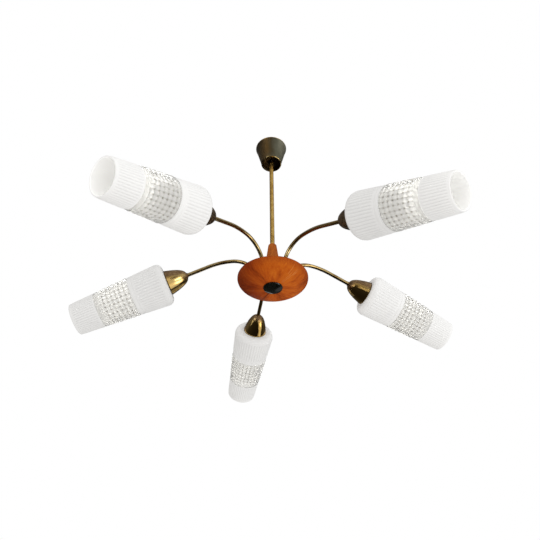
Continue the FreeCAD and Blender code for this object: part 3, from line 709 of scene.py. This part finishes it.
def glass_relief(s, turn):
    """How far the worked outside of the glass stands out from the plain taper."""
    across = (turn * RIBS) % 1.0 * 2 - 1
    ribbed = max(fade(s, *UPPER_RIBS, RIB_FADE), fade(s, *LOWER_RIBS, RIB_FADE))
    out = ribbed * RIB_DEEP * (1 - across * across - 0.5)
    out -= GROOVE_DEEP * max(0.0, 1 - abs(s - GROOVE_AT) / 0.8)
    if STUD_BAND[0] <= s <= STUD_BAND[1]:
        row = (s - STUD_BAND[0]) / (STUD_BAND[1] - STUD_BAND[0]) * STUD_ROWS % 1.0 * 2 - 1
        column = (turn * STUDS_ROUND) % 1.0 * 2 - 1
        dome = (1 - abs(row) ** STUD_SQUARENESS) * (1 - abs(column) ** STUD_SQUARENESS)
        out += STUD_HIGH * (dome - 0.5)
    return out


def glass_shape(radius, s, turn):
    """Add the ribs, groove and studs, and measure from the tip of the cup."""
    outside = radius > taper_r(s) - GLASS_WALL / 2
    if outside and UPPER_RIBS[0] < s < LOWER_RIBS[1]:
        radius += glass_relief(s, turn)
    return radius, s + GLASS_BASE


def glass_shade(number):
    outline = glass_outline()
    mouth_row = outline.index(max(outline, key=lambda point: point[1]))
    kinds = ["opal_%d" % number, "clear", "opal_inside"]

    def glass_kind(s, row):
        if STUD_BAND[0] <= s <= CLEAR_END:
            return kinds.index("clear")
        return kinds.index("opal_inside") if row > mouth_row else 0

    piece = lathe("shade_%d" % number, outline, RIBS * RIB_COLUMNS, head_matrix(number),
                  [MATERIALS[kind] for kind in kinds], glass_kind, glass_shape)
    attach(piece, "arm_%d" % number)
    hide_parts("glass_shade_%d" % number)


def bell(first_s, last_r, count):
    """Points on the bell-shaped cup, from its neck to its rim."""
    power = 1 / CUP_POWER
    start = CUP_NECK_R ** power
    stretch = (GLASS_BASE - first_s) / (last_r ** power - start)
    return [(r, first_s + stretch * (r ** power - start)) for r in steps(CUP_NECK_R, last_r, count)]


def socket_cup(number):
    """The bell-shaped cup, brass outside, and dark on its lip and inside."""
    lip = CUP_WALL / 2
    outline = [(ARM_R, CUP_NECK_START), (CUP_NECK_R - 0.5, CUP_NECK_START),
               (CUP_NECK_R, CUP_NECK_START + 0.5), (CUP_NECK_R, -0.3)]
    outline += bell(0.0, CUP_R, CUP_STEPS)[:-1]
    outline += [(CUP_R, GLASS_BASE - lip), (CUP_R - 0.15, GLASS_BASE - 0.1),
                (CUP_R - lip, GLASS_BASE)]
    outline += bell(CUP_WALL, CUP_R - CUP_WALL, CUP_INNER_STEPS)[::-1]
    outline.append((ARM_R, CUP_WALL))
    lip_row = outline.index((CUP_R, GLASS_BASE - lip))
    brass = MATERIALS["dull_cup" if number in DULL_CUPS else "cup"]
    piece = lathe("cup_%d" % number, outline, 96, head_matrix(number), [brass, MATERIALS["dark"]],
                  lambda height, row: int(row >= lip_row))
    piece.data.set_sharp_from_angle(angle=SHARP_ANGLE)
    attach(piece, "arm_%d" % number)
    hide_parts("socket_cup_%d" % number)


def upright(name, outline, columns, node, body, kinds, material_of=None):
    """A piece turned round the lamp's own upright axis, in place of a CAD node."""
    materials = [MATERIALS[kind] for kind in kinds]
    piece = lathe(name, outline, columns, Matrix.Identity(4), materials, material_of)
    piece.data.set_sharp_from_angle(angle=SHARP_ANGLE)
    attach(piece, body)
    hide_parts(node)


def round_corner(centre, radius, start, end, count):
    """Points round a corner, in degrees from straight outwards."""
    points = []
    for angle in steps(math.radians(start), math.radians(end), count):
        points.append((centre[0] + radius * math.cos(angle), centre[1] + radius * math.sin(angle)))
    return points


def canopy():
    """The cone, rolled to a bead at its narrow end and to a fine lip at its wide rim."""
    half_run = CANOPY_TOP_R - CANOPY_LOW_R
    high = CANOPY_TOP_Z - CANOPY_LOW_Z

    def radius_at(z):
        return CANOPY_LOW_R + half_run * (z - CANOPY_LOW_Z) / high

    high_z = CANOPY_TOP_Z - LIP_RUN
    floor_top_z = CANOPY_FLOOR_Z + CANOPY_WALL
    floor_r = radius_at(CANOPY_FLOOR_Z) - CANOPY_WALL
    bead = round_corner((BEAD_CENTRE_R, BEAD_Z), BEAD_R, -170.0, 50.0, BEAD_STEPS)
    cone = [(radius_at(z), z) for z in steps(BEAD_Z + BEAD_R, high_z, CONE_STEPS)]
    lip = round_corner((LIP_CENTRE_R, CANOPY_TOP_Z - LIP_R), LIP_R, -40.0, 160.0, LIP_STEPS)
    inside = [(radius_at(z) - CANOPY_WALL, z) for z in steps(high_z, floor_top_z, CONE_INNER_STEPS)]
    floor = [(CANOPY_FLOOR_HOLE_R, floor_top_z), (CANOPY_FLOOR_HOLE_R, CANOPY_FLOOR_Z),
             (floor_r - FLOOR_EDGE, CANOPY_FLOOR_Z), (floor_r, CANOPY_FLOOR_Z - FLOOR_EDGE)]
    lip_row = len(bead) + len(cone)
    inside_row = lip_row + len(lip)
    kinds = ["canopy", "bead", "dark", "stained", "rod"]

    def polish(height, row):
        if row < len(bead) - 1:
            return kinds.index("bead")
        if lip_row <= row < inside_row:
            return kinds.index("rod")
        # The floor takes the brass with painted shade.
        if abs(height - CANOPY_FLOOR_Z) < 0.2:
            return kinds.index("stained")
        return kinds.index("dark") if row >= inside_row else 0

    upright("canopy", bead + cone + lip + inside + floor, 144, "canopy_shell", "canopy",
            kinds, polish)


def ellipse(radius, deep, top_z, last, count):
    """Points down a quarter ellipse from its rim, as far as the angle last."""
    return [(radius * math.cos(angle), top_z - deep * math.sin(angle))
            for angle in steps(0.0, last, count)]


def saucer_bowl():
    """The bowl, with a softened edge under the seam and a dished inside."""
    last = math.asin((BOWL_BAND_Z - BOWL_FLAT_Z) / BOWL_DEEP)
    outline = [(SAUCER_R - 0.8, SEAM_Z), (SAUCER_R - 0.25, SEAM_Z - 0.2)]
    outline += ellipse(SAUCER_R, BOWL_DEEP, BOWL_BAND_Z, last, BOWL_STEPS)
    outline += [(ROD_R, BOWL_FLAT_Z), (ROD_R, SEAM_Z - BOWL_INNER_DEEP)]
    inner_last = math.acos(BOWL_INNER_FLAT_R / BOWL_INNER_R)
    outline += ellipse(BOWL_INNER_R, BOWL_INNER_DEEP, SEAM_Z, inner_last, BOWL_INNER_STEPS)[::-1]
    upright("bowl", outline, 180, "saucer_bowl", "frame", ["saucer"])


def button():
    """The domed cap, with a small round over its edge."""
    top_z = BOWL_FLAT_Z - WASHER_THICK
    edge_z = top_z - CAP_EDGE
    sag = CAP_HIGH - CAP_EDGE
    sphere_r = (CAP_R ** 2 + sag ** 2) / (2 * sag)
    outline = [(ROD_R, top_z), (CAP_R - 0.2, top_z), (CAP_R, top_z - 0.2), (CAP_R, edge_z + 0.25)]
    for r in steps(CAP_R - 0.12, 0.0, CAP_STEPS):
        outline.append((r, top_z - CAP_HIGH + sphere_r - math.sqrt(sphere_r ** 2 - r ** 2)))
    outline += [(0.0, top_z - CAP_BORE_DEEP), (ROD_R, top_z - CAP_BORE_DEEP)]
    upright("button", outline, 96, "finial_cap", "finial", ["button"])


# ---------------------------------------------------------------- CAD nodes that stay

NODE_MATERIALS = {
    "hanger_loop": "rod", "down_rod": "rod", "rod_flex": "flex",
    "ceiling_terminal_block": "porcelain", "ceiling_terminal_screws": "contact",
    "canopy_collar": "dark", "canopy_screw": "steel",
    "teak_neck": "neck", "saucer_lid": "saucer",
    "arm_plate": "steel", "arm_nuts": "steel", "rod_nuts": "steel",
    "hub_terminal_block": "porcelain", "hub_terminal_screws": "contact", "hub_wiring": "flex",
    "finial_washer": "nickel",
}
ARM_NODE_MATERIALS = {
    "arm_tube": "arm", "lampholder_body": "bakelite", "screw_shell": "contact",
    "centre_contact": "contact", "arm_flex": "flex", "shade_ring": "bakelite",
}


def paint(node, material):
    for slot in frame["nodes"][node].material_slots:
        slot.material = MATERIALS[material]


def paint_nodes():
    for node, material in NODE_MATERIALS.items():
        paint(node, material)
    for number in ARM_NUMBERS:
        for node, material in ARM_NODE_MATERIALS.items():
            paint("%s_%d" % (node, number), material)


# ---------------------------------------------------------------- studio

# The camera, in metres and degrees: heading from X towards Y, pitch upwards.
CAMERA_PLACE = Vector((-0.0548, -0.8369, -1.0482))
CAMERA_HEADING = 86.64
CAMERA_PITCH = 38.66
CAMERA_ROLL = -0.497
LENS_MM = 34.25
SENSOR_MM = 36.0
FLOOR_Z = -1.75
FLOOR_SIZE = 3.0
# A patch of light: the way to it, the cosine of its half width, and how far that falls over its edge.
KEY_LIGHT = ((0.72, -0.6, 0.3), 0.9, 1.8)
# Windows that only polished metal shows, as above and with the brightness of each.
WINDOWS = [
    ((0.25, -0.55, 0.80), 0.80, 0.30, 0.43),
    ((0.70, -0.48, 0.53), 0.93, 0.05, 0.55),
    ((0.30, 0.95, 0.05), 0.80, 0.15, 0.06),
    ((0.68, -0.64, -0.32), 0.91, 0.05, 0.70),
    ((0.78, -0.30, -0.55), 0.955, 0.03, 1.1),
    ((0.70, -0.02, -0.71), 0.985, 0.01, 0.8),
    ((0.66, -0.72, -0.22), 0.990, 0.006, 3.6),
    ((0.80, -0.30, -0.50), 0.990, 0.006, 3.6),
    ((-0.62, -0.77, 0.08), 0.985, 0.010, 2.4),
    ((0.52, 0.72, -0.46), 0.965, 0.040, 0.25),
]


def make_camera():
    heading = math.radians(CAMERA_HEADING)
    pitch = math.radians(CAMERA_PITCH)
    roll = math.radians(CAMERA_ROLL)
    ahead = Vector((math.cos(heading) * math.cos(pitch), math.sin(heading) * math.cos(pitch),
                    math.sin(pitch)))
    right = ahead.cross(Vector((0, 0, 1))).normalized()
    up = right.cross(ahead)
    right = right * math.cos(roll) + up * math.sin(roll)
    up = right.cross(ahead)
    data = bpy.data.cameras.new("camera")
    data.lens = LENS_MM
    data.sensor_width = SENSOR_MM
    camera = bpy.data.objects.new("camera", data)
    bpy.context.scene.collection.objects.link(camera)
    turn = Matrix((right, up, -ahead)).transposed()
    camera.matrix_world = Matrix.Translation(CAMERA_PLACE) @ turn.to_4x4()
    bpy.context.scene.camera = camera


def make_floor():
    material, tree, shader = new_material("floor_paper")
    colour = ramp(tree, noise(tree, place(tree), 6.0), [(0.3, (0.80, 0.79, 0.77)),
                                                       (0.7, (0.84, 0.83, 0.81))])
    tree.links.new(colour, shader.inputs["Base Color"])
    shader.inputs["Roughness"].default_value = 0.9
    mesh = bpy.data.meshes.new("floor")
    size = FLOOR_SIZE
    mesh.from_pydata([(-size, -size, 0), (size, -size, 0), (size, size, 0), (-size, size, 0)],
                     [], [(0, 1, 2, 3)])
    mesh.materials.append(material)
    floor = bpy.data.objects.new("floor", mesh)
    bpy.context.scene.collection.objects.link(floor)
    floor.location.z = FLOOR_Z
    floor.visible_diffuse = False
    floor.visible_glossy = False
    floor.visible_transmission = False


def softbox(tree, direction, aim, width, edge):
    """One inside a round patch in the direction aim, falling to nought across its soft edge."""
    node = tree.nodes.new("ShaderNodeVectorMath")
    node.operation = "DOT_PRODUCT"
    tree.links.new(direction, node.inputs[0])
    node.inputs[1].default_value = Vector(aim).normalized()
    return level(tree, node.outputs["Value"], width - edge, width)


def make_world():
    """A white room. Polished metal sees a dim one with windows, and clear glass a brighter ceiling."""
    world = bpy.data.worlds.new("studio")
    world.use_nodes = True
    world.cycles.sampling_method = "NONE"
    bpy.context.scene.world = world
    tree = world.node_tree
    background = tree.nodes["Background"]
    direction = tree.nodes.new("ShaderNodeTexCoord").outputs["Generated"]
    _, _, height = parts_of(tree, direction)
    height = level(tree, height, -1.0, 1.0)
    mirrored = ramp(tree, height, [(0.0, (0.012, 0.010, 0.008)), (0.40, (0.03, 0.026, 0.02)),
                                   (0.52, (0.07, 0.066, 0.06)), (0.70, (0.13, 0.125, 0.12)),
                                   (1.0, (0.18, 0.175, 0.17))])
    for aim, width, edge, strength in WINDOWS:
        light = softbox(tree, direction, aim, width, edge)
        mirrored = blend(tree, light, mirrored, (strength, strength, strength))
    seen_through = ramp(tree, height, [(0.0, (0.8, 0.79, 0.77)), (0.45, (0.95, 0.94, 0.92)),
                                       (0.79, (1.08, 1.07, 1.05)), (0.87, (3.3, 3.3, 3.26))])
    key = softbox(tree, direction, *KEY_LIGHT)
    soft = ramp(tree, key, [(0.0, (0.80, 0.79, 0.78)), (0.5, (1.02, 1.01, 1.0)),
                            (1.0, (1.20, 1.20, 1.20))])
    path = tree.nodes.new("ShaderNodeLightPath").outputs
    light = blend(tree, path["Is Glossy Ray"], soft, mirrored)
    light = blend(tree, path["Is Transmission Ray"], light, seen_through)
    light = blend(tree, path["Is Camera Ray"], light, (1.0, 1.0, 1.0))
    tree.links.new(light, background.inputs["Color"])
    background.inputs["Strength"].default_value = 1.0


def build():
    make_camera()
    paint_nodes()
    for number in ARM_NUMBERS:
        glass_shade(number)
        socket_cup(number)
    canopy()
    saucer_bowl()
    button()
    make_floor()
    make_world()
    bpy.context.scene.view_settings.view_transform = "Standard"


build()
